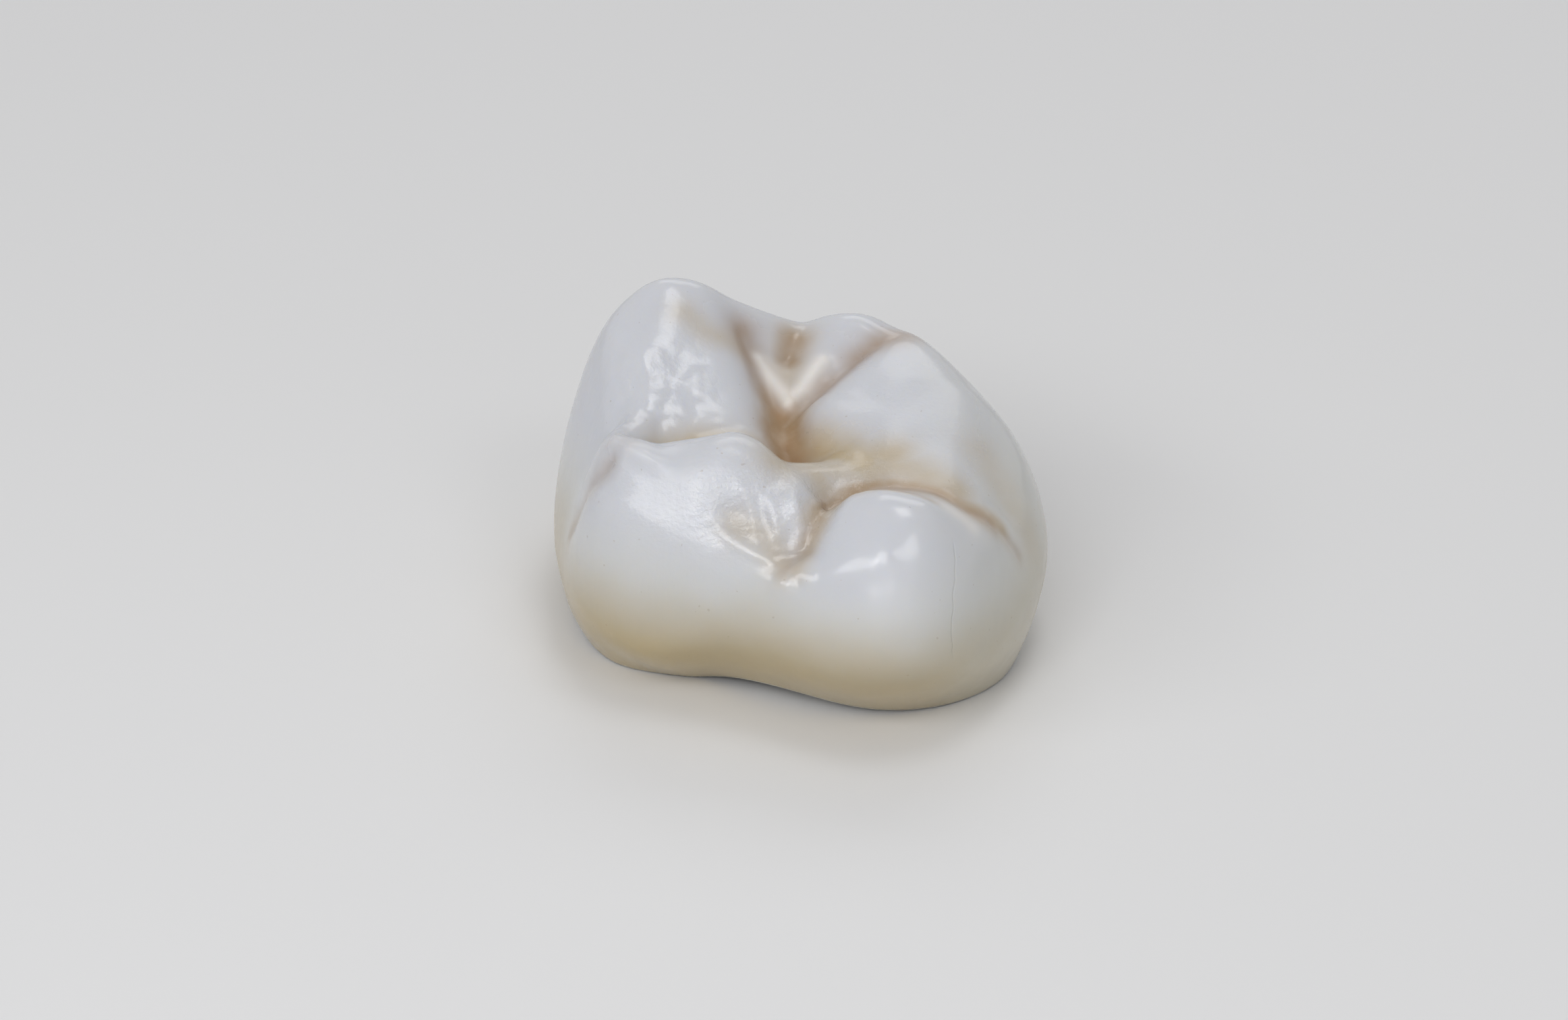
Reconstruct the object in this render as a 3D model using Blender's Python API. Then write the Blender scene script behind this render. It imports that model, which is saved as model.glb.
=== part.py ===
"""A ceramic crown for an upper molar: one hollow cap that fits over a prepared tooth.

The biting face points up (+Z), +Y is the cheek side and -Y the palate side, and +X is the side
towards the back of the mouth. The crown stands on its neck edge over the origin, with its socket
open downwards. Lengths are in metres. The outer form is laid out in shares: 1 is half the width
or half the depth away from the axis, and for heights the whole height.
"""

import math

import bmesh
import bpy
import numpy as np

# Overall size of the outer form
CROWN_WIDTH = 0.0103
CROWN_DEPTH = 0.0106
CROWN_HEIGHT = 0.0065

# Socket for the prepared tooth
SEAT_WIDTH = 0.0007
SEAT_RISE = 0.0003
ROOF_THICKNESS = 0.0009
SOCKET_ROUNDING = 0.0006
SOCKET_TAPER = math.radians(6)

# Sections of the wall: compass degrees from +X, then (reach, height) at the neck edge, at the bulge
# and at the shoulder below the biting face
WALL_SECTIONS = [
    (0, (0.84, 0.045), (0.99, 0.315), (0.85, 0.68)),
    (28, (0.83, 0.02), (0.94, 0.31), (0.80, 0.68)),
    (55, (0.80, 0.00), (0.93, 0.34), (0.71, 0.85)),
    (90, (0.78, 0.00), (0.965, 0.38), (0.70, 0.83)),
    (120, (0.88, 0.00), (1.06, 0.35), (0.81, 0.90)),
    (150, (0.90, 0.02), (1.10, 0.28), (0.90, 0.93)),
    (180, (0.90, 0.045), (0.97, 0.20), (0.75, 0.71)),
    (205, (0.80, 0.00), (0.965, 0.265), (0.86, 0.89)),
    (225, (0.60, 0.00), (0.89, 0.23), (0.74, 0.83)),
    (247, (0.59, 0.05), (0.80, 0.35), (0.59, 0.78)),
    (270, (0.67, 0.06), (0.90, 0.34), (0.75, 0.62)),
    (290, (0.75, 0.02), (1.10, 0.38), (0.83, 0.76)),
    (316, (0.88, 0.00), (1.08, 0.32), (0.89, 0.76)),
    (338, (0.92, 0.01), (1.02, 0.31), (0.855, 0.64)),
]
WALL_ROUNDNESS = 0.55
CREST_ROUNDING = 0.06

# Ridges of the biting face: both ends, and how far to the side each has fallen by RIDGE_FALL
RIDGES = {
    "mesiobuccal cusp": ((-0.53, 0.62, 1.01), (-0.33, -0.04, 0.73), 0.28),
    "mesiobuccal crest": ((-0.54, 0.66, 1.02), (0.00, 0.72, 0.81), 0.22),
    "mesial crest": ((-0.58, 0.64, 1.01), (-0.80, 0.08, 0.82), 0.32),
    "mesial marginal ridge": ((-0.82, 0.08, 0.81), (-0.82, -0.38, 0.83), 0.22),
    "mesiopalatal corner": ((-0.76, -0.37, 0.86), (-0.68, -0.42, 0.86), 0.21),
    "mesiopalatal crest": ((-0.50, -0.41, 0.825), (-0.27, -0.40, 0.845), 0.23),
    "mesiopalatal front": ((-0.50, -0.55, 0.75), (-0.27, -0.60, 0.73), 0.23),
    "mesiopalatal spur": ((-0.27, -0.40, 0.845), (-0.10, -0.50, 0.78), 0.19),
    "oblique ridge near": ((-0.16, -0.44, 0.79), (0.16, -0.28, 0.70), 0.14),
    "oblique ridge far": ((0.16, -0.28, 0.70), (0.43, -0.06, 0.74), 0.22),
    "distobuccal cusp": ((0.52, 0.43, 0.86), (0.25, 0.11, 0.77), 0.30),
    "distobuccal bump": ((0.21, 0.70, 0.92), (0.07, 0.44, 0.75), 0.21),
    "distobuccal crest": ((0.25, 0.68, 0.88), (0.50, 0.49, 0.81), 0.23),
    "distal slope": ((0.50, 0.19, 0.81), (0.47, -0.41, 0.715), 0.33),
    "distal crest": ((0.66, 0.30, 0.78), (0.82, -0.09, 0.66), 0.27),
    "distopalatal cusp": ((0.41, -0.76, 0.80), (0.68, -0.60, 0.68), 0.32),
    "distopalatal shoulder": ((0.41, -0.76, 0.80), (0.27, -0.64, 0.75), 0.23),
    "left tongue": ((-0.16, 0.52, 0.77), (-0.06, 0.30, 0.70), 0.12),
    "right tongue": ((0.08, 0.46, 0.76), (-0.03, 0.30, 0.70), 0.12),
}
RIDGE_FALL = 0.15
RIDGE_FULLNESS = 3
PIT_FLOOR = 0.585
VALLEY_ROUNDING = 0.014

# Mesh: cells across the middle patch, its reach, and the rings of each stage outside it
PATCH_CELLS = 32
PATCH_REACH = 0.50
FACE_REACH = 0.86
FACE_RINGS = 8
WALL_RINGS = 7
FLANK_RINGS = 7
SOCKET_WALL_RINGS = 4
SOCKET_CORNER_RINGS = 4


class Loop:
    """A smooth closed line round the crown, through (reach, height) at the wall sections."""

    def __init__(self, place):
        self.angles = np.radians([section[0] for section in WALL_SECTIONS])
        self.points = np.array([section[place] for section in WALL_SECTIONS])
        self.gaps = np.diff(np.append(self.angles, self.angles[0] + 2 * math.pi))
        slopes = (np.roll(self.points, -1, axis=0) - self.points) / self.gaps[:, None]
        before = np.roll(self.gaps, 1)
        count = len(self.angles)
        matrix = np.diag(2 * (before + self.gaps))
        for i in range(count):
            matrix[i, i - 1] += before[i]
            matrix[i, (i + 1) % count] += self.gaps[i]
        self.bends = np.linalg.solve(matrix, 6 * (slopes - np.roll(slopes, 1, axis=0)))

    def at(self, angle):
        """Reach and height at each compass angle, by cubic splines."""
        turned = (np.asarray(angle) - self.angles[0]) % (2 * math.pi) + self.angles[0]
        here = np.clip(np.searchsorted(self.angles, turned, side="right") - 1, 0, None)
        there = (here + 1) % len(self.angles)
        gap = self.gaps[here][..., None]
        b = (turned - self.angles[here])[..., None] / gap
        a = 1 - b
        bent = (a**3 - a) * self.bends[here] + (b**3 - b) * self.bends[there]
        point = a * self.points[here] + b * self.points[there] + bent * gap**2 / 6
        return point[..., 0], point[..., 1]


neck_edge = Loop(1)
bulge = Loop(2)
shoulder = Loop(3)


def ridge_height(x, y, start, end, half_width):
    """A pillow along a line: as high as its ends on the line, falling ever faster to each side."""
    (x0, y0, z0), (x1, y1, z1) = start, end
    run_x, run_y = x1 - x0, y1 - y0
    share = np.clip(((x - x0) * run_x + (y - y0) * run_y) / (run_x**2 + run_y**2), 0, 1)
    away = np.hypot(x - x0 - share * run_x, y - y0 - share * run_y)
    return z0 + share * (z1 - z0) - RIDGE_FALL * (away / half_width) ** RIDGE_FULLNESS


def biting_face(x, y):
    """Height of the biting face: the highest ridge at each place, with grooves where they meet."""
    heights = [np.full_like(x, PIT_FLOOR)]
    for ridge in RIDGES.values():
        heights.append(ridge_height(x, y, *ridge))
    heights = np.array(heights) / VALLEY_ROUNDING
    top = heights.max(axis=0)
    return VALLEY_ROUNDING * (top + np.log(np.exp(heights - top).sum(axis=0)))


def wall_height(angle, reach):
    """Height of the outer wall over a place inside the bulge."""
    (bulge_reach, bulge_height), (shoulder_reach, shoulder_height) = bulge.at(angle), shoulder.at(angle)
    inset = np.clip(bulge_reach - reach, 0, None) / (bulge_reach - shoulder_reach)
    return bulge_height + (shoulder_height - bulge_height) * inset**WALL_ROUNDNESS


def top_height(angle, reach):
    """Height of the crown inside the bulge, with a rounded crest where wall and biting face meet."""
    face = biting_face(reach * np.cos(angle), reach * np.sin(angle))
    wall = wall_height(angle, reach)
    low, high = np.minimum(face, wall), np.maximum(face, wall)
    return low - CREST_ROUNDING * np.log1p(np.exp((low - high) / CREST_ROUNDING))


def in_metres(angle, reach, height):
    x, y = reach * np.cos(angle) * CROWN_WIDTH / 2, reach * np.sin(angle) * CROWN_DEPTH / 2
    return np.stack([x, y, height * CROWN_HEIGHT + 0 * x], axis=-1)


def face_ring(angle, share):
    """The biting face: share 0 on the axis, 1 near the top of the wall."""
    reach = share * FACE_REACH * bulge.at(angle)[0]
    return in_metres(angle, reach, top_height(angle, reach))


def wall_ring(angle, share):
    """The upper wall: share 0 at the biting face, 1 at the bulge."""
    bulge_reach, bulge_height = bulge.at(angle)
    reach = bulge_reach * (1 - (1 - FACE_REACH) * (1 - share) ** (1 / WALL_ROUNDNESS))
    return in_metres(angle, reach, top_height(angle, reach) if share < 1 else bulge_height)


def flank_ring(angle, share):
    """The tuck-in under the bulge: share 0 at the bulge, 1 at the neck edge."""
    (bulge_reach, bulge_height), (neck_reach, neck_height) = bulge.at(angle), neck_edge.at(angle)
    reach = neck_reach + (bulge_reach - neck_reach) * math.cos(share * math.pi / 2)
    return in_metres(angle, reach, bulge_height + (np.maximum(neck_height, 0) - bulge_height) * share)


def evened_neck(angle):
    """Plan radius and height of the neck edge in metres, evened out over a fifth of a turn."""
    radii, heights = [], []
    for offset in np.radians(range(-36, 37, 12)):
        x, y, z = in_metres(angle + offset, *neck_edge.at(angle + offset)).T
        radii.append(np.hypot(x, y))
        heights.append(np.maximum(z, 0))
    return np.mean(radii, axis=0), np.mean(heights, axis=0)


def socket_ring(angle, share):
    """The socket: share 0 at the inner edge of the seat, 1 at the top of its wall, 2 on the roof."""
    neck_radius, neck_height = evened_neck(angle)
    foot_radius, foot_height = neck_radius - SEAT_WIDTH, neck_height + SEAT_RISE
    corner_height = PIT_FLOOR * CROWN_HEIGHT - ROOF_THICKNESS - SOCKET_ROUNDING
    height = foot_height + (corner_height - foot_height) * min(share, 1)
    radius = foot_radius - (height - foot_height) * math.tan(SOCKET_TAPER)
    turn = max(share - 1, 0) * math.pi / 2
    radius = radius - SOCKET_ROUNDING * (1 - math.cos(turn))
    height = height + SOCKET_ROUNDING * math.sin(turn)
    x, y, _ = in_metres(angle, 1, 0).T
    around = np.arctan2(y, x)
    return np.stack([radius * np.cos(around), radius * np.sin(around), height], axis=-1)


def place(verts, points):
    for vert, point in zip(verts, points):
        vert.co = point


def lay_patch(bm):
    """The middle of the biting face: a square grid, drawn into a rounded patch."""
    bmesh.ops.create_grid(bm, x_segments=PATCH_CELLS, y_segments=PATCH_CELLS, size=1.0)
    verts = list(bm.verts)
    a, b = np.array([vert.co.xy for vert in verts]).T
    x, y = PATCH_REACH * a * np.sqrt(1 - b * b / 4), PATCH_REACH * b * np.sqrt(1 - a * a / 4)
    angle, reach = np.arctan2(y, x), np.hypot(x, y)
    place(verts, in_metres(angle, reach, top_height(angle, reach)))
    return [edge for edge in bm.edges if edge.is_boundary]


def next_ring(bm, rim):
    """Grows the open rim by one ring, still to be placed, and tells where its vertices stand."""
    grown = bmesh.ops.extrude_edge_only(bm, edges=rim)["geom"]
    verts = [part for part in grown if isinstance(part, bmesh.types.BMVert)]
    edges = [part for part in grown if isinstance(part, bmesh.types.BMEdge) and part.is_boundary]
    x = np.array([vert.co.x for vert in verts]) / CROWN_WIDTH
    y = np.array([vert.co.y for vert in verts]) / CROWN_DEPTH
    return edges, verts, np.arctan2(y, x), 2 * np.hypot(x, y)


def crown_body(bm):
    """Grows the mesh ring by ring: biting face, wall, tuck-in to the neck edge, seat and socket."""
    rim = lay_patch(bm)
    for ring in range(FACE_RINGS):
        rim, verts, angle, reach = next_ring(bm, rim)
        share = reach / (FACE_REACH * bulge.at(angle)[0])
        place(verts, face_ring(angle, share + (1 - share) / (FACE_RINGS - ring)))
    for stage, rings in ((wall_ring, WALL_RINGS), (flank_ring, FLANK_RINGS)):
        for ring in range(rings):
            rim, verts, angle, _ = next_ring(bm, rim)
            place(verts, stage(angle, (ring + 1) / rings))
    wall_shares = [ring / SOCKET_WALL_RINGS for ring in range(SOCKET_WALL_RINGS + 1)]
    corner_shares = [1 + (ring + 1) / SOCKET_CORNER_RINGS for ring in range(SOCKET_CORNER_RINGS)]
    for share in wall_shares + corner_shares:
        rim, verts, angle, _ = next_ring(bm, rim)
        place(verts, socket_ring(angle, share))
    bmesh.ops.contextual_create(bm, geom=rim)
    bmesh.ops.recalc_face_normals(bm, faces=bm.faces)


def centre_on_base(bm):
    """Moves the middle of the crown's bounding box, on its underside, to the origin."""
    places = np.array([vert.co for vert in bm.verts])
    low, high = places.min(axis=0), places.max(axis=0)
    middle = (low + high) / 2
    bmesh.ops.translate(bm, verts=bm.verts, vec=(-middle[0], -middle[1], -low[2]))


def ceramic():
    material = bpy.data.materials.new("glazed ceramic")
    material.use_nodes = True
    shader = material.node_tree.nodes["Principled BSDF"]
    shader.inputs["Base Color"].default_value = (0.72, 0.69, 0.62, 1.0)
    shader.inputs["Roughness"].default_value = 0.15
    shader.inputs["Metallic"].default_value = 0.0
    return material


def main():
    for obj in list(bpy.data.objects):
        bpy.data.objects.remove(obj)
    collection = bpy.data.collections.new("ceramic dental crown")
    bpy.context.scene.collection.children.link(collection)
    bm = bmesh.new()
    crown_body(bm)
    centre_on_base(bm)
    mesh = bpy.data.meshes.new("crown")
    bm.to_mesh(mesh)
    bm.free()
    mesh.shade_smooth()
    mesh.materials.append(ceramic())
    collection.objects.link(bpy.data.objects.new("crown", mesh))


if __name__ == "__main__":
    main()
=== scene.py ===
import math

import bmesh
import bpy
import numpy as np
from bpy.props import FloatProperty, FloatVectorProperty, PointerProperty
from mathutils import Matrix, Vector, noise
from mathutils.bvhtree import BVHTree


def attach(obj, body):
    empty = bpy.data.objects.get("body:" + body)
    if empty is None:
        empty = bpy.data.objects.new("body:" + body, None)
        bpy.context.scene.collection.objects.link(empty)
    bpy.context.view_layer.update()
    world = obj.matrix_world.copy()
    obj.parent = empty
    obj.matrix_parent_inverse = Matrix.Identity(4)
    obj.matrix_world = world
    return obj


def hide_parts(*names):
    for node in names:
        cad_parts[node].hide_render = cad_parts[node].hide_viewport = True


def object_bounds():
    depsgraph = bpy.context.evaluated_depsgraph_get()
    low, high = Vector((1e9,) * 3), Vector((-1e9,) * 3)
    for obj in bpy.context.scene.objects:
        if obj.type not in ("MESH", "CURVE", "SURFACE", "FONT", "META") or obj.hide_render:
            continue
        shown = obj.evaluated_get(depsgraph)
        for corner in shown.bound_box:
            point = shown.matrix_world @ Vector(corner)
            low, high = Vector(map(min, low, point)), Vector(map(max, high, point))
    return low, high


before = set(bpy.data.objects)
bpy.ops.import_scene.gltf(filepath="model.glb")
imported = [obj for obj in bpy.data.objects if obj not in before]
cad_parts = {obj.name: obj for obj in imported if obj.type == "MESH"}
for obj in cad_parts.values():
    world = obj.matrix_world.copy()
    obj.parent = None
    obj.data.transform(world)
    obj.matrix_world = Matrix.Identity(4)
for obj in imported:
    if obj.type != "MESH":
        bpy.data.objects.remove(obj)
CAD_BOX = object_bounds()

bl_info = {
    "name": "Ceramic dental crown",
    "version": (1, 0, 0),
    "blender": (4, 5, 0),
    "location": "3D View > Sidebar > Crown",
    "description": "Glazed, stained ceramic crown for an upper molar on a studio table",
    "category": "Object",
}

MM = 0.001

# Grooves of the biting face and of the left wall: points (mm), half width (mm), depth (mm) and strength of the
# stain; on the left wall's crease and line that stain is painted shade of the hollow. A point with two numbers
# is in plan and is dropped onto the crown, and one with three goes to the nearest place on it. The pit's depth
# is less than
# 0, because its floor is raised a little.
GROOVES = {
    "mesiobuccal groove": (
        ((-1.2, 2.7), (-1.05, 2.4), (-0.76, 1.75), (-0.5, 1.1), (-0.32, 0.5)), 0.22, 0.02, 0.70),
    "distobuccal groove": (
        ((2.2, 2.7), (1.3, 2.4), (0.8, 1.95), (0.25, 1.5), (-0.3, 1.0)), 0.18, 0.03, 0.60),
    "central pit": (((-0.35, 1.2), (-0.33, 0.5), (-0.15, -0.1)), 0.28, -0.08, 1.0),
    "palatal groove": (
        ((-0.25, -3.78), (-0.08, -3.62), (0.08, -3.42), (0.35, -3.0), (0.55, -2.5)), 0.12, 0.03, 0.35),
    "distal groove": (
        ((0.55, -2.5), (0.95, -2.15), (1.4, -2.05), (2.0, -2.25), (2.75, -2.48), (3.3, -2.75),
         (3.6, -2.72), (3.9, -2.64)), 0.13, 0.03, 0.60),
    "end of the distal groove": (
        ((3.9, -2.64, 4.0), (4.18, -2.53, 3.62), (4.47, -2.41, 3.09)), 0.10, 0.02, 0.30),
    # Painted shade: the stain of the mesial crease and line darkens the left wall where its hollow lies in
    # shade
    "mesial crease with painted shade": (((-3.68, -1.6, 5.57), (-4.11, -1.6, 5.07)), 0.25, 0.04, 0.10),
    "mesial hollow": (
        ((-4.2, -1.7, 4.8), (-4.32, -1.58, 4.52), (-4.51, -1.14, 3.8), (-4.66, -0.75, 3.1)), 0.50, 0.13, 0.0),
    # Painted shade along the floor of the mesial hollow, with a shallow cut
    "mesial line with painted shade": (
        ((-4.15, -1.8, 5.0), (-4.32, -1.58, 4.52), (-4.51, -1.14, 3.8), (-4.66, -0.75, 3.1),
         (-4.76, -0.7, 2.6)), 0.14, 0.03, 0.35),
}

# Ridges and hollows that the maker's brush left: points (mm), half width (mm) and height (mm), which is
# less than 0 in a hollow. The last two are broad and shape the front wall.
BRUSHWORK = {
    "dish": (((-1.3, -3.05), (-0.75, -3.25), (-0.35, -3.4)), 0.42, -0.08),
    "rim of the dish": (((-1.75, -3.05), (-1.4, -3.3), (-0.9, -3.56), (-0.4, -3.72)), 0.12, 0.035),
    "finger one": (((-1.15, -2.75), (-1.0, -3.0), (-0.9, -3.3)), 0.14, 0.045),
    "finger two": (((-0.65, -2.8), (-0.55, -3.1), (-0.45, -3.35)), 0.12, 0.045),
    "finger three": (((-0.15, -2.8), (-0.02, -3.15), (-0.02, -3.4)), 0.12, 0.045),
    "groove lip": (((0.15, -3.0), (0.38, -2.55), (0.7, -2.1), (1.15, -1.75)), 0.14, 0.03),
    "left lobe": (((-0.85, 2.5), (-0.55, 2.0), (-0.25, 1.5)), 0.16, 0.05),
    "right lobe": (((0.45, 2.4), (0.2, 2.0), (-0.1, 1.6)), 0.16, 0.05),
    "foot of the groove": (((0.1, -3.95, 3.6), (-0.13, -3.9, 3.5), (-0.26, -4.02, 3.37)), 0.30, 0.13),
    "shoulder of the back cusp": (
        ((-0.4, -4.1, 3.2), (0.34, -4.3, 3.6), (1.0, -4.5, 4.0), (1.6, -4.5, 4.3)), 0.38, 0.06),
    "round of the front corner": (((-4.0, -2.2, 5.2), (-3.2, -2.7, 5.2)), 0.90, -0.24),
    "belly of the front": (((-3.3, -3.3, 3.5), (-2.3, -3.6, 3.5)), 0.95, 0.12),
}

# Where the form is rubbed smooth before the grooves are cut: points (mm), half width (mm) and rounds of
# smoothing
RUBBED = (
    (((0.35, -3.0), (0.55, -2.5), (0.95, -2.15), (1.4, -2.05)), 0.60, 80),
    (((-0.35, 1.2), (-0.33, 0.5), (-0.15, -0.1), (0.2, -0.8)), 0.45, 50),
    (((-4.4, -1.3, 4.6), (-3.9, -1.1, 5.2), (-3.3, -0.8, 5.2)), 0.60, 50),
    (((-4.2, -2.2, 5.0), (-3.6, -2.5, 5.0), (-2.8, -2.6, 5.0)), 0.60, 40),
    (((-2.7, 1.2), (-2.6, 0.5), (-2.6, -0.2)), 0.45, 30),
    (((-3.7, -1.9, 5.6), (-3.1, -2.4, 5.4), (-2.4, -2.3, 5.3)), 0.50, 50),
    (((0.1, -3.95, 3.6), (-0.13, -3.9, 3.5), (-0.26, -4.02, 3.37)), 0.40, 40),
    (((-1.05, 2.4), (-0.76, 1.75), (-0.5, 1.1), (-0.35, 0.6)), 0.45, 50),
    (((1.3, 2.4), (0.8, 1.95), (0.25, 1.5)), 0.35, 20),
    (((-0.25, 2.4), (-0.15, 3.05)), 0.40, 30),
)

# Tints under the glaze, painted highlights, and places where it is dull: kind, points (mm), half width (mm) and
# strength
TINTS = (
    ("cream", ((-0.35, 1.0), (-0.2, 0.2), (0.45, -0.35), (1.25, -1.2)), 0.60, 1.0),
    ("cream", ((-0.4, -1.9), (0.3, -1.5), (1.2, -1.4), (2.2, -1.75), (3.1, -2.2)), 0.60, 0.70),
    ("cream", ((0.3, -0.6), (1.0, -0.9), (1.9, -1.2)), 0.55, 0.80),
    ("cream", ((-0.3, -1.3), (0.2, -1.7), (0.5, -2.2)), 0.45, 0.60),
    ("cream", ((0.3, -3.0), (0.7, -2.3), (1.4, -1.95), (2.4, -2.2), (3.4, -2.6), (4.1, -2.4)), 0.32, 0.70),
    ("cream", ((-0.4, 1.3), (-0.25, 2.2), (-0.1, 3.1)), 0.50, 0.60),
    ("cream", ((-1.3, 2.2), (-1.8, 2.1), (-2.4, 2.4)), 0.35, 0.45),
    ("cream", ((-2.8, -0.6), (-2.3, -0.6), (-1.5, -0.65), (-0.6, -0.6)), 0.55, 0.9),
    ("cream", ((-1.3, -3.15), (-0.7, -3.4), (-0.3, -3.75)), 0.38, 0.50),
    ("cream", ((0.0, -3.9), (0.4, -3.2), (0.9, -2.6)), 0.28, 0.55),
    ("cream", ((3.7, -0.6, 4.4), (4.3, -1.3, 3.7), (4.6, -1.6, 2.8)), 0.60, 0.35),
    ("brown", ((-0.25, 2.75), (-0.15, 3.05)), 0.36, 0.75),
    ("dull", ((-3.9, -1.7, 5.6), (-3.1, -2.3, 5.4), (-2.4, -2.3, 5.3), (-1.6, -2.2, 5.2)), 0.50, 0.90),
    ("dull", ((-1.4, 2.4), (-1.1, 1.2), (-0.9, 0.2)), 0.80, 0.60),
    # Painted highlights: the small lobes are whitened to stand in for the highlights along their edges
    ("painted_highlight", ((-0.85, 2.5), (-0.55, 2.0), (-0.25, 1.5)), 0.20, 0.90),
    ("painted_highlight", ((0.45, 2.4), (0.2, 2.0), (-0.1, 1.6)), 0.20, 0.90),
    ("dull", ((-0.7, 2.2), (-0.2, 1.5), (0.3, 2.2)), 0.90, 0.9),
    ("dull", ((0.8, 0.8), (1.8, 0.6), (2.8, 0.2), (2.6, -1.2)), 1.20, 0.55),
    ("dull", ((-0.35, 1.2), (-0.33, 0.5), (-0.15, -0.1), (0.4, -1.0)), 0.50, 1.0),
    # Painted highlight: a whitened band along the top edge of the back cusp, below the distal groove
    ("painted_highlight", ((1.3, -2.75), (2.0, -2.95), (2.8, -3.05), (3.5, -3.2)), 0.22, 0.60),
)

# Where the glaze is pitted like orange peel: points (mm), half width (mm) and strength
PITTED = (
    (((-3.6, -2.6), (-2.4, -2.9), (-1.6, -3.0)), 0.9, 0.5),
    (((-1.5, -2.9), (-0.8, -2.9), (0.0, -2.9)), 0.9, 1.8),
    (((-0.6, -2.4), (0.4, -2.2), (1.2, -1.7)), 0.5, 1.8),
    (((0.5, 0.4), (1.6, 0.2), (2.8, 0.0), (2.6, -1.4)), 1.1, 0.5),
    (((-3.4, 1.0), (-2.5, 0.9)), 1.0, 0.4),
)

# Where the glaze is thick and uneven: points (mm), half width (mm) and strength
LUMPY = (
    (((-3.6, 1.1), (-3.5, 0.1), (-2.4, 0.2), (-2.4, 1.1)), 0.7, 1.6),
    (((-1.4, -2.9), (-0.7, -3.0), (0.0, -2.9)), 0.6, 0.5),
)

# The same strength elsewhere, and the glaze's lumps of two sizes: size (mm) and height (mm)
LUMPY_ELSEWHERE = 0.2
LUMPS = ((0.7, 0.05), (0.28, 0.014))

# How many times a groove's half width its stain and painted shade spread
STAIN_AND_SHADE_SPREAD = 2.2

# How many half widths from its line the rubbing ends
RUB_REACH = 1.6

# A line's points are this far apart (mm), and those in plan are dropped from this height (m)
LINE_STEP = 0.04
DROP_HEIGHT = 0.02

# The CAD mesh is merged within this distance (m). Its flat pairs of triangles become four-sided within these
# angles (degrees), and edges past the sharp angle keep this much of their crease when they are subdivided.
MERGE_DISTANCE = 1e-7
FLAT_ANGLE = 40
SKEW_ANGLE = 50
SHARP_ANGLE = 50
SHARP_CREASE = 0.9
SUBDIVISIONS = 2

# The socket: its middle in plan (mm) and a height (mm) above it. Below that height, a place is outside where
# its normal points away from the middle by this much.
SOCKET_MIDDLE = (0.0, 0.4)
ABOVE_SOCKET = 3.2
OUTER_FACING = 0.35

# Bands over which one colour goes over into the next (m): of height for neck and cusps, of x for the right side
NECK_BAND = (0.0011, 0.0036)
CUSP_BAND = (0.0024, 0.0043)
SIDE_BAND = (0.0015, 0.0050)

# How far the clouds move each band (m), and how much the neck's band rises with x
NECK_DRIFT = 0.0007
CUSP_DRIFT = 0.0016
SIDE_DRIFT = 0.002
NECK_SLANT = 0.03

# Colours of the finish that aren't in the panel, and their strength
GREENISH_SIDE = (0.56, 0.56, 0.50, 1)
GREENISH_STRENGTH = 0.5
SPECK_COLOUR = (0.30, 0.22, 0.13, 1)
SPECK_STRENGTH = 0.25
SPECK_BAND = (0.84, 0.87)
SOCKET_COLOUR = (0.62, 0.60, 0.55, 1)

# Scales of the finish's noise (per metre); the brush marks are drawn out along z
CLOUDS = 350
FINE_CLOUDS = 1500
GLOSS_PATCHES = 2500
PEEL = 8000
SPECKS = 11000
CUT_MARKS = 14000
BRUSH_MARKS = (9000, 9000, 900)

# Roughness that is added: by the patches, where the glaze is dull, where it is pitted, and in the socket
PATCH_ROUGHNESS = 0.08
DULL_ROUGHNESS = 0.20
PITTED_ROUGHNESS = -0.04
SOCKET_ROUGHNESS = 0.45

# Shares of the texture's height: peel everywhere, brush marks on the left, cut marks in the socket, hair line
PEEL_SHARE = 0.10
BRUSH_SHARE = 0.25
CUT_SHARE = 1.5
HAIR_SHARE = 0.6

# The brush marks fade in from this x to the left, over this much (m)
BRUSH_START = -0.001
BRUSH_FADE = 0.002

# The hair line in the glaze on the right of the front (m): its x, how far it wanders, the scale of that noise
# (per metre), its half width, the bands of height at its two ends, and the y where it fades in
HAIR_X = 0.00312
HAIR_WANDER = 0.0003
HAIR_WAVES = 900
HAIR_HALF_WIDTH = 0.00003
HAIR_LOWER_END = (0.0020, 0.0024)
HAIR_UPPER_END = (0.0041, 0.0044)
HAIR_START = -0.003
HAIR_FADE = 0.0002

# Soft boxes: azimuth and elevation (degrees), distance (m), size (m) and share of the lamps' power
SOFT_BOXES = (
    ("left soft box", -50, 35, 0.14, (0.125, 0.035), 0.18),
    ("front soft box", -16, 44, 0.15, (0.07, 0.065), 0.21),
    ("right soft box", 34, 48, 0.14, (0.045, 0.030), 0.06),
    ("rear soft box", 172, 44, 0.16, (0.12, 0.06), 0.14),
    ("top soft box", 110, 80, 0.14, (0.05, 0.04), 0.10),
    ("front fill", 0, 24, 0.24, (0.26, 0.16), 0.20),
)

# The place that the soft boxes face (m), the table's half width (m), and the share of the background's
# strength that lights the crown; seen directly or mirrored it has all of it
LAMP_TARGET = (0, 0, 0.003)
TABLE_HALF_WIDTH = 0.6
SKY_LIGHT = 0.36

# The camera: its view's degrees above the table, a place on the table (m), how far its aim lies from there
# along the view's upward direction (m), the width that it sees at the crown (m) and its sensor's width (mm)
CAMERA_TILT = 30
CAMERA_AIM = (-0.000326, 0.00015, 0)
CAMERA_RISE = 0.002322
SEEN_WIDTH = 0.0326
SENSOR_WIDTH = 36


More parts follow.
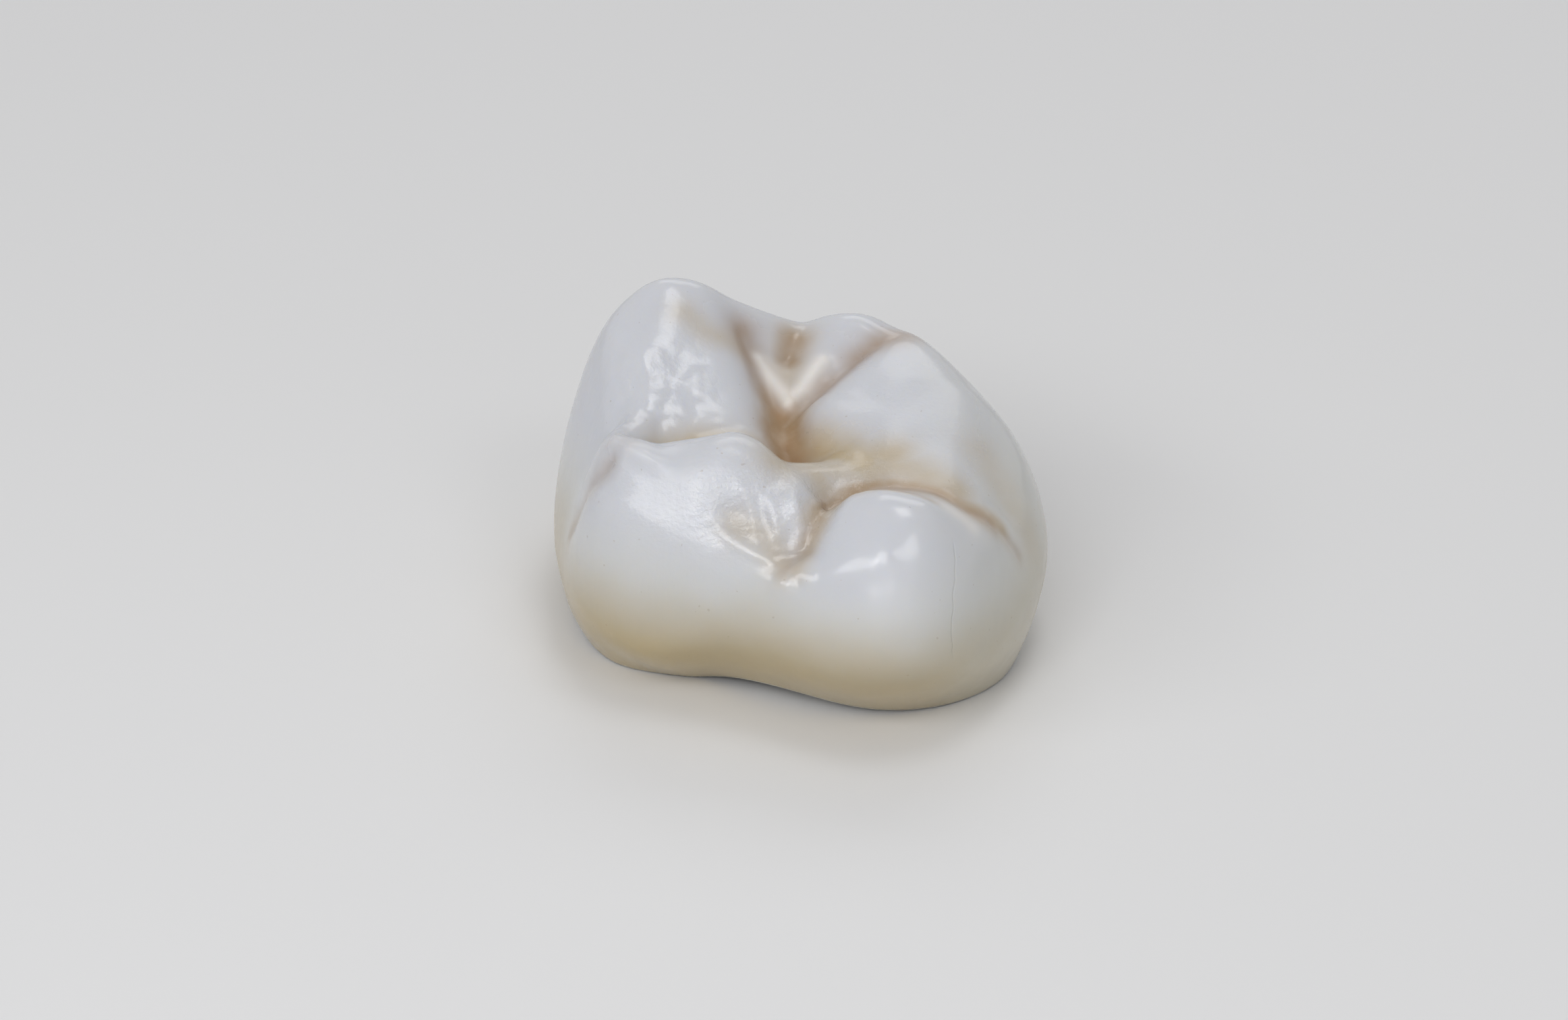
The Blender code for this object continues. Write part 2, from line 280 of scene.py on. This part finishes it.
class CrownFinish(bpy.types.PropertyGroup):
    body_colour: FloatVectorProperty(
        name="Body", description="Ceramic in the middle of the walls", subtype="COLOR",
        size=4, min=0, max=1, default=(0.65, 0.655, 0.64, 1))
    tip_colour: FloatVectorProperty(
        name="Cusps", description="Cooler, more translucent ceramic on the cusps", subtype="COLOR",
        size=4, min=0, max=1, default=(0.635, 0.65, 0.695, 1))
    # Neck: a warm tint near the neck edge, also darker than the body as painted shade low on the walls
    neck_colour: FloatVectorProperty(
        name="Neck", description="Warm ceramic near the neck edge", subtype="COLOR",
        size=4, min=0, max=1, default=(0.45, 0.36, 0.20, 1))
    # Groove stain colour, also used as painted shade along the crease and line of the left wall
    stain_colour: FloatVectorProperty(
        name="Groove stain", description="Painted stain in the grooves and the pit", subtype="COLOR",
        size=4, min=0, max=1, default=(0.35, 0.215, 0.105, 1))
    cream_colour: FloatVectorProperty(
        name="Cream tint", description="Warm tint around the grooves", subtype="COLOR",
        size=4, min=0, max=1, default=(0.49, 0.39, 0.24, 1))
    # Colour of the painted highlights on the small lobes and along the back cusp's top edge
    milky_colour: FloatVectorProperty(
        name="Milky tint", description="Opaque white ceramic on the small lobes", subtype="COLOR",
        size=4, min=0, max=1, default=(0.80, 0.77, 0.74, 1))
    groove_share: FloatProperty(
        name="Groove depth", description="Share of the grooves' own depth", subtype="FACTOR",
        min=0, max=2, default=1)
    peel_height: FloatProperty(
        name="Glaze texture", description="Height of the fine pitting in the glaze", subtype="DISTANCE",
        unit="LENGTH", min=0, max=0.0001, default=0.000018)
    gloss: FloatProperty(
        name="Roughness", description="Roughness of the glaze", subtype="FACTOR",
        min=0, max=1, default=0.23)


class StageSettings(bpy.types.PropertyGroup):
    floor_colour: FloatVectorProperty(
        name="Floor", description="Colour of the table and the backdrop", subtype="COLOR",
        size=4, min=0, max=1, default=(0.84, 0.84, 0.845, 1))
    lamp_power: FloatProperty(
        name="Lamps", description="Power of all the soft boxes together", subtype="POWER",
        unit="POWER", min=0, default=0.21)
    camera_distance: FloatProperty(
        name="Camera distance", description="From the camera to the crown", subtype="DISTANCE",
        unit="LENGTH", min=0.05, default=0.22)


def through(points):
    """Points every LINE_STEP or so along a smooth curve through the given ones (mm)."""
    given = [np.array(point, float) for point in points]
    given = [2 * given[0] - given[1]] + given + [2 * given[-1] - given[-2]]
    line = []
    for before, start, end, after in zip(given, given[1:], given[2:], given[3:]):
        count = max(2, int(np.linalg.norm(end - start) / LINE_STEP))
        for share in np.arange(count) / count:
            bend = (2 * before - 5 * start + 4 * end - after) * share**2
            bend = bend + (3 * start - before - 3 * end + after) * share**3
            line.append(start + ((end - before) * share + bend) / 2)
    line.append(given[-2])
    return np.array(line)


def surface_tree(mesh, places):
    """The mesh's faces in a form that can be searched for the nearest place."""
    faces = [face.vertices for face in mesh.polygons]
    return BVHTree.FromPolygons([Vector(place) for place in places], faces)


def on_crown(tree, points):
    """The points of a smooth line on the crown (m), dropped from above or moved to the nearest place."""
    found = []
    for point in through(points) * MM:
        if len(point) == 2:
            hit = tree.ray_cast(Vector((*point, DROP_HEIGHT)), Vector((0, 0, -1)))[0]
        else:
            hit = tree.find_nearest(Vector(point))[0]
        if hit is not None:
            found.append(hit)
    return np.array(found)


def distance_to(places, line):
    """Distance of each place to the nearest point of the line."""
    nearest = np.full(len(places), np.inf)
    for point in line:
        nearest = np.minimum(nearest, np.linalg.norm(places - point, axis=1))
    return nearest


def refined_copy(node):
    """A finer copy of a CAD node's mesh: merged, back in four-sided faces, and subdivided."""
    bm = bmesh.new()
    bm.from_mesh(node.data)
    bmesh.ops.remove_doubles(bm, verts=bm.verts, dist=MERGE_DISTANCE)
    bmesh.ops.join_triangles(
        bm, faces=bm.faces, angle_face_threshold=math.radians(FLAT_ANGLE),
        angle_shape_threshold=math.radians(SKEW_ANGLE))
    crease = bm.edges.layers.float.new("crease_edge")
    for edge in bm.edges:
        if edge.calc_face_angle(0) > math.radians(SHARP_ANGLE):
            edge[crease] = SHARP_CREASE
    mesh = bpy.data.meshes.new("ceramic_crown")
    bm.to_mesh(mesh)
    bm.free()
    piece = bpy.data.objects.new("ceramic_crown", mesh)
    bpy.context.scene.collection.objects.link(piece)
    smoother = piece.modifiers.new("smooth", "SUBSURF")
    smoother.levels = smoother.render_levels = SUBDIVISIONS
    graph = bpy.context.evaluated_depsgraph_get()
    fine = bpy.data.meshes.new_from_object(piece.evaluated_get(graph))
    piece.modifiers.clear()
    piece.data = fine
    bpy.data.meshes.remove(mesh)
    fine.shade_smooth()
    return piece


def places_and_normals(mesh):
    """Every vertex's place (m) and normal, as two arrays."""
    places = np.zeros(len(mesh.vertices) * 3, np.float32)
    mesh.vertices.foreach_get("co", places)
    normals = np.zeros(len(mesh.vertices) * 3, np.float32)
    mesh.vertex_normals.foreach_get("vector", normals)
    return places.reshape(-1, 3).astype(float), normals.reshape(-1, 3).astype(float)


def outside_share(places, normals):
    """1 on the outer surface and 0 on the ledge and in the socket, which face down or the socket's middle."""
    away = places[:, :2] - np.array(SOCKET_MIDDLE) * MM
    away = away / np.linalg.norm(away, axis=1)[:, None]
    facing = np.einsum("ij,ij->i", away, normals[:, :2])
    return ((facing > OUTER_FACING) | (places[:, 2] > ABOVE_SOCKET * MM)).astype(float)


def write_attribute(mesh, name, values):
    """Gives each vertex a number that the material reads by its name."""
    layer = mesh.attributes.new(name, "FLOAT", "POINT")
    layer.data.foreach_set("value", np.asarray(values, np.float32))


def near(places, tree, points, half_width):
    """1 on a line along the crown and 0 far from it, with a soft edge (points and half width in mm)."""
    away = distance_to(places, on_crown(tree, points)) / MM
    return np.exp(-(away / half_width) ** 2)


def ripple(places, size, height):
    """Soft uneven lumps as large as size (mm), height (mm) high."""
    return np.array([height * noise.noise(Vector(place / (size * MM))) for place in places])


def rub(piece):
    """Evens out the form along the lines that the brush or the polisher went over, with soft borders."""
    places = places_and_normals(piece.data)[0]
    tree = surface_tree(piece.data, places)
    bm = bmesh.new()
    bm.from_mesh(piece.data)
    bm.verts.ensure_lookup_table()
    for points, half_width, rounds in RUBBED:
        away = distance_to(places, on_crown(tree, points)) / (half_width * MM)
        chosen = {index: bm.verts[index] for index in np.flatnonzero(away < RUB_REACH)}
        before = {index: vert.co.copy() for index, vert in chosen.items()}
        for _ in range(rounds):
            bmesh.ops.smooth_vert(
                bm, verts=list(chosen.values()), factor=0.5,
                use_axis_x=True, use_axis_y=True, use_axis_z=True)
        for index, vert in chosen.items():
            vert.co = before[index].lerp(vert.co, math.exp(-(away[index] ** 4)))
    bm.to_mesh(piece.data)
    bm.free()


def carve(piece, groove_share):
    """Cuts the grooves, raises the brushwork and the glaze's lumps, and marks where each finish, painted shade
    and painted highlight is.
    """
    mesh = piece.data
    places, normals = places_and_normals(mesh)
    outside = outside_share(places, normals)
    tree = surface_tree(mesh, places)
    marks = {name: np.zeros(len(places)) for name in ("brown", "cream", "painted_highlight", "pitted", "dull")}
    lift = np.zeros(len(places))
    for points, half_width, depth, painted in GROOVES.values():
        lift -= groove_share * depth * near(places, tree, points, half_width)
        # Stain in the grooves and the pit; along the left wall's crease and line it is painted shade
        stain_and_shade = painted * near(places, tree, points, STAIN_AND_SHADE_SPREAD * half_width)
        marks["brown"] = np.maximum(marks["brown"], stain_and_shade)
    for points, half_width, height in BRUSHWORK.values():
        lift += height * near(places, tree, points, half_width)
    for kind, points, half_width, strength in TINTS:
        marks[kind] = np.maximum(marks[kind], strength * near(places, tree, points, half_width))
    for points, half_width, strength in PITTED:
        marks["pitted"] = np.maximum(marks["pitted"], strength * near(places, tree, points, half_width))
    lumpy = np.full(len(places), LUMPY_ELSEWHERE)
    for points, half_width, strength in LUMPY:
        lumpy = np.maximum(lumpy, strength * near(places, tree, points, half_width))
    lift += lumpy * (1 - marks["dull"]) * sum(ripple(places, size, height) for size, height in LUMPS)
    moved = np.clip(places + normals * (lift * outside * MM)[:, None], *np.array(CAD_BOX))
    mesh.vertices.foreach_set("co", moved.astype(np.float32).ravel())
    mesh.update()
    for name, values in marks.items():
        write_attribute(mesh, name, values * outside)
    write_attribute(mesh, "outside", outside)


class Wire:
    """A shader socket that can stand in an expression: each operator adds its Math node."""

    def __init__(self, tree, socket):
        self.tree = tree
        self.socket = socket

    def node(self, kind, settings=None, sockets=None, output=0):
        """Adds any node: its settings first, then its sockets' values or links, by identifier.

        The result is one of its outputs, by number or name.
        """
        node = self.tree.nodes.new(kind)
        for name, value in (settings or {}).items():
            setattr(node, name, value)
        for socket in node.inputs:
            if sockets and socket.identifier in sockets:
                value = sockets[socket.identifier]
                if isinstance(value, Wire):
                    self.tree.links.new(value.socket, socket)
                else:
                    socket.default_value = value
        return Wire(self.tree, node.outputs[output])

    def maths(self, operation, *values):
        sockets = dict(zip(("Value", "Value_001"), values))
        return self.node("ShaderNodeMath", {"operation": operation}, sockets)

    def __add__(self, other):
        return self.maths("ADD", self, other)

    __radd__ = __add__

    def __mul__(self, other):
        return self.maths("MULTIPLY", self, other)

    __rmul__ = __mul__

    def __sub__(self, other):
        return self.maths("SUBTRACT", self, other)

    def __rsub__(self, other):
        return self.maths("SUBTRACT", other, self)

    def size(self):
        return self.maths("ABSOLUTE", self)

    def between(self, low, high):
        """0 below low, 1 above high, with a soft step between."""
        return self.node(
            "ShaderNodeMapRange", {"interpolation_type": "SMOOTHSTEP"},
            {"Value": self, "From Min": low, "From Max": high})

    def blend(self, first, second):
        """The first colour where this is 0 and the second where it is 1."""
        return self.node(
            "ShaderNodeMix", {"data_type": "RGBA"},
            {"Factor_Float": self, "A_Color": first, "B_Color": second}, 2)


def glazed_ceramic(finish):
    """The crown's finish: ceramic colours, tints, stain, painted shade and painted highlights under a glaze
    that is pitted in places.
    """
    material = bpy.data.materials.new("glazed ceramic")
    material.use_nodes = True
    tree = material.node_tree
    shader = tree.nodes["Principled BSDF"]
    start = Wire(tree, None)
    coords = start.node("ShaderNodeTexCoord", output="Object")
    across = start.node("ShaderNodeSeparateXYZ", None, {"Vector": coords}, "X")
    deep = start.node("ShaderNodeSeparateXYZ", None, {"Vector": coords}, "Y")
    height = start.node("ShaderNodeSeparateXYZ", None, {"Vector": coords}, "Z")

    def mark(name):
        return start.node("ShaderNodeAttribute", {"attribute_name": name}, None, "Fac")

    def grain(scale, detail=2.0, roughness=0.5, vector=coords):
        return start.node(
            "ShaderNodeTexNoise", None,
            {"Vector": vector, "Scale": scale, "Detail": detail, "Roughness": roughness})

    outside = mark("outside")
    pitted = mark("pitted")
    dull = mark("dull")
    cloud = grain(CLOUDS) - 0.5
    fine_cloud = grain(FINE_CLOUDS)

    # Colour: body, neck and cusps first, then tints, stain and painted shade, painted highlights, specks, and
    # the bare socket
    # Neck: warm tint low on the walls, partly painted shade, so the walls are darker towards the bottom
    neck = 1 - (height + cloud * NECK_DRIFT - across * NECK_SLANT).between(*NECK_BAND)
    colour = neck.blend(tuple(finish.body_colour), tuple(finish.neck_colour))
    cusps = (height + cloud * CUSP_DRIFT).between(*CUSP_BAND)
    colour = cusps.blend(colour, tuple(finish.tip_colour))
    greenish = (across + cloud * SIDE_DRIFT).between(*SIDE_BAND) * GREENISH_STRENGTH
    colour = greenish.blend(colour, GREENISH_SIDE)
    cream = mark("cream") * (0.7 + 0.6 * fine_cloud)
    colour = cream.blend(colour, tuple(finish.cream_colour))
    # Stain in the grooves and the pit, and painted shade along the left wall's crease and line
    painted = mark("brown") * (0.5 + fine_cloud)
    colour = painted.blend(colour, tuple(finish.stain_colour))
    # Painted highlights: the small lobes and the back cusp's top edge are whitened
    colour = mark("painted_highlight").blend(colour, tuple(finish.milky_colour))
    specks = grain(SPECKS, 0.0).between(*SPECK_BAND) * SPECK_STRENGTH
    colour = specks.blend(colour, SPECK_COLOUR)
    colour = outside.blend(SOCKET_COLOUR, colour)
    tree.links.new(colour.socket, shader.inputs["Base Color"])

    # Roughness and coat of the glaze
    gloss = finish.gloss + (grain(GLOSS_PATCHES) - 0.5) * PATCH_ROUGHNESS
    gloss = gloss + dull * DULL_ROUGHNESS + pitted * PITTED_ROUGHNESS + (1 - outside) * SOCKET_ROUGHNESS
    tree.links.new(gloss.socket, shader.inputs["Roughness"])
    coat = 0.35 * outside * (1 - dull)
    tree.links.new(coat.socket, shader.inputs["Coat Weight"])

    # Fine texture: peel, brush marks, cut marks in the socket and the hair line
    peel = grain(PEEL, 3.0, 0.6) * (PEEL_SHARE + pitted)
    drawn_out = start.node("ShaderNodeMapping", None, {"Vector": coords, "Scale": BRUSH_MARKS})
    brushed = grain(1.0, vector=drawn_out) * (BRUSH_START - across).between(0.0, BRUSH_FADE) * BRUSH_SHARE
    cut = grain(CUT_MARKS) * (1 - outside) * CUT_SHARE
    beside_hair = (across - HAIR_X + (grain(HAIR_WAVES) - 0.5) * HAIR_WANDER).size()
    hair = 1 - beside_hair.between(0.0, HAIR_HALF_WIDTH)
    hair = hair * height.between(*HAIR_LOWER_END) * (1 - height.between(*HAIR_UPPER_END))
    hair = hair * (HAIR_START - deep).between(0.0, HAIR_FADE)
    bump = start.node(
        "ShaderNodeBump", None,
        {"Strength": 1.0, "Distance": finish.peel_height, "Height": peel + brushed + cut - hair * HAIR_SHARE})
    tree.links.new(bump.socket, shader.inputs["Normal"])

    # What is the same all over
    shader.inputs["Subsurface Weight"].default_value = 0.5
    shader.inputs["Subsurface Radius"].default_value = (1.0, 0.8, 0.55)
    shader.inputs["Subsurface Scale"].default_value = 0.0006
    shader.inputs["IOR"].default_value = 1.52
    shader.inputs["Coat Roughness"].default_value = 0.10
    return material


class OBJECT_OT_ceramic_crown(bpy.types.Operator):
    """Makes the crown: finer form, carved grooves, painted stain, painted shade and highlights, and glaze"""

    bl_idname = "object.ceramic_crown"
    bl_label = "Ceramic crown"

    def execute(self, context):
        finish = context.scene.crown_finish
        piece = refined_copy(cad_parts["crown"])
        rub(piece)
        carve(piece, finish.groove_share)
        piece.data.materials.clear()
        piece.data.materials.append(glazed_ceramic(finish))
        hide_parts("crown")
        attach(piece, "root")
        return {"FINISHED"}


def soft_light(name, place, size, power):
    """A rectangular lamp that faces the crown."""
    lamp = bpy.data.lights.new(name, "AREA")
    lamp.shape = "RECTANGLE"
    lamp.size, lamp.size_y = size
    lamp.energy = power
    holder = bpy.data.objects.new(name, lamp)
    holder.location = place
    holder.rotation_euler = (Vector(LAMP_TARGET) - Vector(place)).to_track_quat("-Z", "Y").to_euler()
    bpy.context.scene.collection.objects.link(holder)


def pale_surface(name, colour):
    """Plain matt surface of the table."""
    material = bpy.data.materials.new(name)
    material.use_nodes = True
    shader = material.node_tree.nodes["Principled BSDF"]
    shader.inputs["Base Color"].default_value = colour
    shader.inputs["Roughness"].default_value = 0.7
    return material


class SCENE_OT_crown_stage(bpy.types.Operator):
    """Sets up the table, the soft lights, the pale background and the camera"""

    bl_idname = "scene.crown_stage"
    bl_label = "Table, light and camera"

    def execute(self, context):
        settings = context.scene.crown_stage
        bm = bmesh.new()
        bmesh.ops.create_grid(bm, x_segments=1, y_segments=1, size=TABLE_HALF_WIDTH)
        mesh = bpy.data.meshes.new("table")
        bm.to_mesh(mesh)
        bm.free()
        mesh.materials.append(pale_surface("table", tuple(settings.floor_colour)))
        table = bpy.data.objects.new("table", mesh)
        context.scene.collection.objects.link(table)
        for name, azimuth, elevation, distance, size, share in SOFT_BOXES:
            turn, rise = math.radians(azimuth), math.radians(elevation)
            reach = distance * math.cos(rise)
            place = (reach * math.sin(turn), -reach * math.cos(turn), distance * math.sin(rise))
            soft_light(name, place, size, share * settings.lamp_power)
        self.add_background(context, settings)
        self.add_camera(context, settings)
        context.scene.view_settings.view_transform = "Standard"
        return {"FINISHED"}

    def add_background(self, context, settings):
        """A pale background that lights the crown with a share of its strength."""
        world = bpy.data.worlds.new("studio")
        world.use_nodes = True
        sky = world.node_tree.nodes["Background"]
        start = Wire(world.node_tree, None)
        seen = start.node("ShaderNodeLightPath", output="Is Camera Ray")
        mirrored = start.node("ShaderNodeLightPath", output="Is Glossy Ray")
        through_glass = start.node("ShaderNodeLightPath", output="Is Transmission Ray")
        plain = seen.maths("MAXIMUM", seen, seen.maths("MAXIMUM", mirrored, through_glass))
        sky.inputs["Color"].default_value = tuple(settings.floor_colour)
        strength = SKY_LIGHT + plain * (1 - SKY_LIGHT)
        world.node_tree.links.new(strength.socket, sky.inputs["Strength"])
        context.scene.world = world

    def add_camera(self, context, settings):
        """The photograph's view, from above the palate side."""
        tilt = math.radians(CAMERA_TILT)
        forward = Vector((0, math.cos(tilt), -math.sin(tilt)))
        up = Vector((0, math.sin(tilt), math.cos(tilt)))
        aim = Vector(CAMERA_AIM) + up * CAMERA_RISE
        camera = bpy.data.cameras.new("camera")
        camera.sensor_width = SENSOR_WIDTH
        camera.lens = SENSOR_WIDTH * settings.camera_distance / SEEN_WIDTH
        camera.clip_start = 0.01
        camera.clip_end = 10
        holder = bpy.data.objects.new("camera", camera)
        holder.location = aim - forward * settings.camera_distance
        holder.rotation_euler = forward.to_track_quat("-Z", "Y").to_euler()
        context.scene.collection.objects.link(holder)
        context.scene.camera = holder


class VIEW3D_PT_ceramic_crown(bpy.types.Panel):
    bl_label = "Ceramic crown"
    bl_space_type = "VIEW_3D"
    bl_region_type = "UI"
    bl_category = "Crown"

    def draw(self, context):
        for settings, operator in (
                (context.scene.crown_finish, OBJECT_OT_ceramic_crown),
                (context.scene.crown_stage, SCENE_OT_crown_stage)):
            for name in settings.bl_rna.properties.keys():
                if name not in ("rna_type", "name"):
                    self.layout.prop(settings, name)
            self.layout.operator(operator.bl_idname)


CLASSES = (
    CrownFinish, StageSettings, OBJECT_OT_ceramic_crown, SCENE_OT_crown_stage, VIEW3D_PT_ceramic_crown)


def register():
    for each in CLASSES:
        bpy.utils.register_class(each)
    bpy.types.Scene.crown_finish = PointerProperty(type=CrownFinish)
    bpy.types.Scene.crown_stage = PointerProperty(type=StageSettings)


def unregister():
    del bpy.types.Scene.crown_stage
    del bpy.types.Scene.crown_finish
    for each in reversed(CLASSES):
        bpy.utils.unregister_class(each)


def main():
    register()
    bpy.ops.object.ceramic_crown()
    bpy.ops.scene.crown_stage()


if __name__ == "__main__":
    main()
